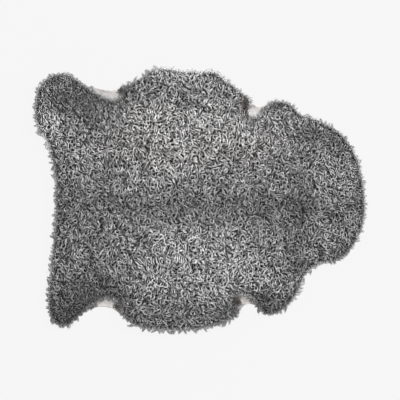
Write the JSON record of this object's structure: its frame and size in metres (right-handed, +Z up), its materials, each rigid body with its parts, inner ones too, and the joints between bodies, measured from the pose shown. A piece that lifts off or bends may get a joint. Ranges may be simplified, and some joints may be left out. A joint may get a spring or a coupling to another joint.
{
  "type": "sheepskin rug",
  "caption": "Whole sheepskin rug with short curly grey wool, lying flat, its pale hide bare at the armpits and groins.",
  "frame": {"origin": "middle of the rug's outline, on the floor that it lies on", "axes": "+X along the spine towards the neck, +Y towards the animal's left side, +Z up out of the wool"},
  "size_m": [0.9062, 0.7236, 0.0341],
  "materials": {
    "hide": "matte suede",
    "wool": "matte curly wool"
  },
  "bodies": {
    "root": {"hide": "hide", "fleece": "wool"}
  },
  "joints": []
}
